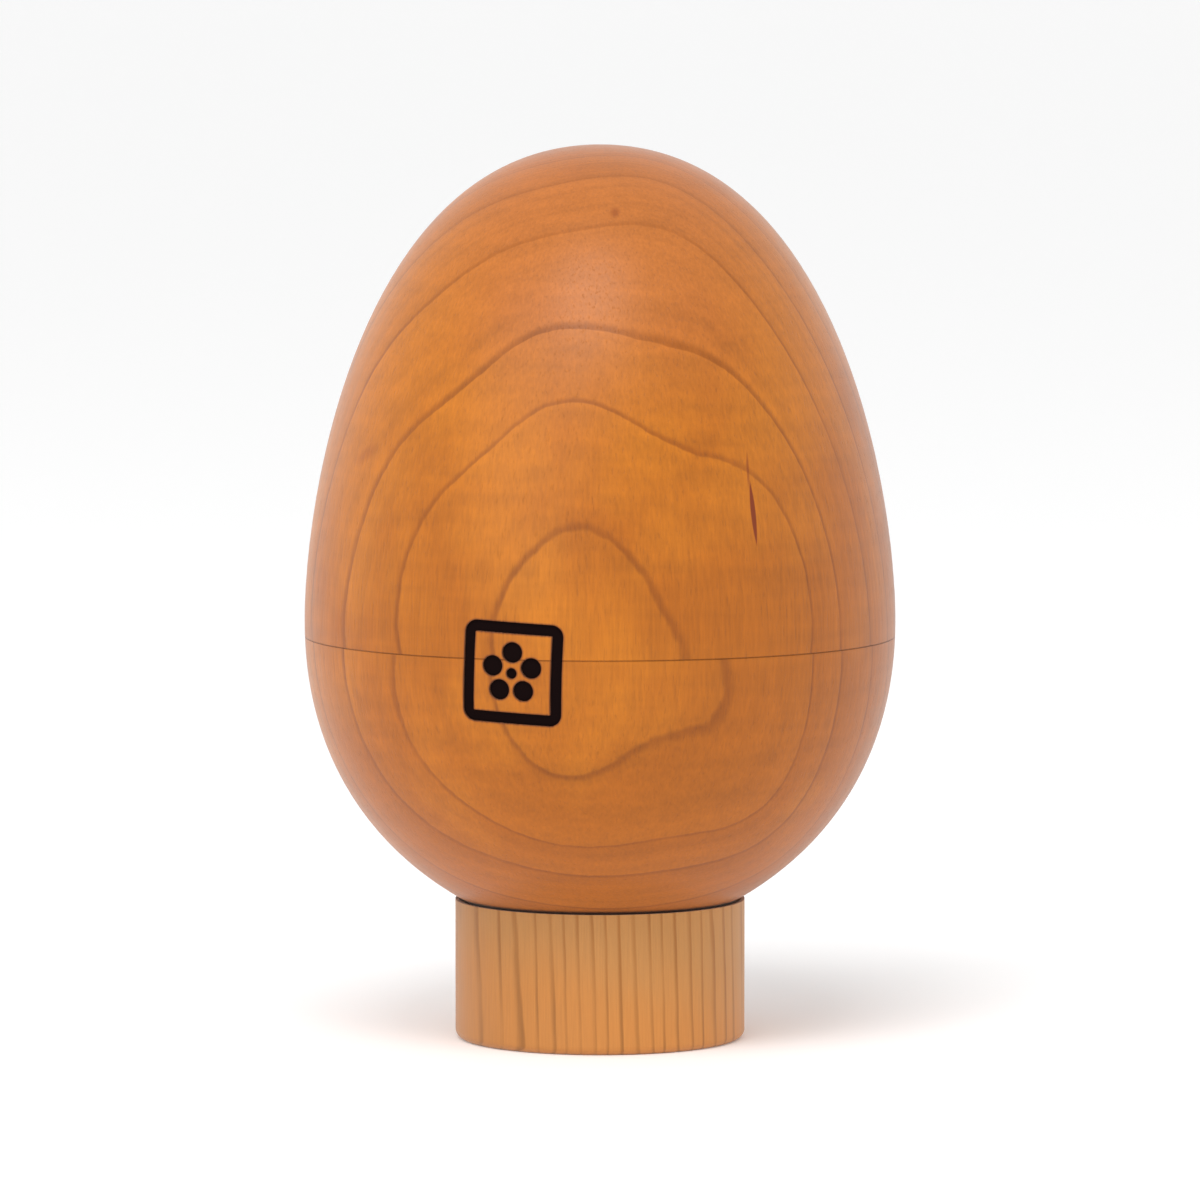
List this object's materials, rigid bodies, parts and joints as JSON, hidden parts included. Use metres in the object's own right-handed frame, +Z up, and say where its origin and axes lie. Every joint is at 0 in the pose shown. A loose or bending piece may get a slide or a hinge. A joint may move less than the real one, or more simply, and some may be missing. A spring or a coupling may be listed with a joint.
{
  "type": "egg kokeshi doll",
  "caption": "Turned wooden egg case that opens at its belly, set in a dished round stand, with a small turned doll standing inside.",
  "frame": {"origin": "centre of the stand's underside, where it rests", "axes": "+Z up along the axis that every piece is turned about; the burned seal's side faces -Y"},
  "size_m": [0.068, 0.068, 0.103],
  "materials": {
    "stand_wood": "pale straight-grained softwood, bare and matt",
    "egg_wood": "orange-brown flat-sawn wood, rubbed with wax to a satin sheen",
    "doll_wood": "pale fine-grained wood, waxed, with painted bands and face"
  },
  "bodies": {
    "stand": {"stand": "stand_wood"},
    "egg_lower": {"egg_lower": "egg_wood"},
    "egg_upper": {"egg_upper": "egg_wood"},
    "doll_body": {"doll_body": "doll_wood"},
    "doll_head": {"doll_head": "doll_wood"}
  },
  "joints": [
    {"name": "egg_lift", "type": "slide", "parent": "stand", "child": "egg_lower", "axis": [0, 0, 1], "range_m": [0, 0.015]},
    {"name": "lid_lift", "type": "slide", "parent": "egg_lower", "child": "egg_upper", "axis": [0, 0, 1], "range_m": [0, 0.03]},
    {"name": "doll_lift", "type": "slide", "parent": "egg_lower", "child": "doll_body", "axis": [0, 0, 1], "range_m": [0, 0.012]},
    {"name": "head_turn", "type": "hinge", "parent": "doll_body", "child": "doll_head", "pos_m": [0, 0, 0.05388], "axis": [0, 0, 1], "continuous": true}
  ]
}
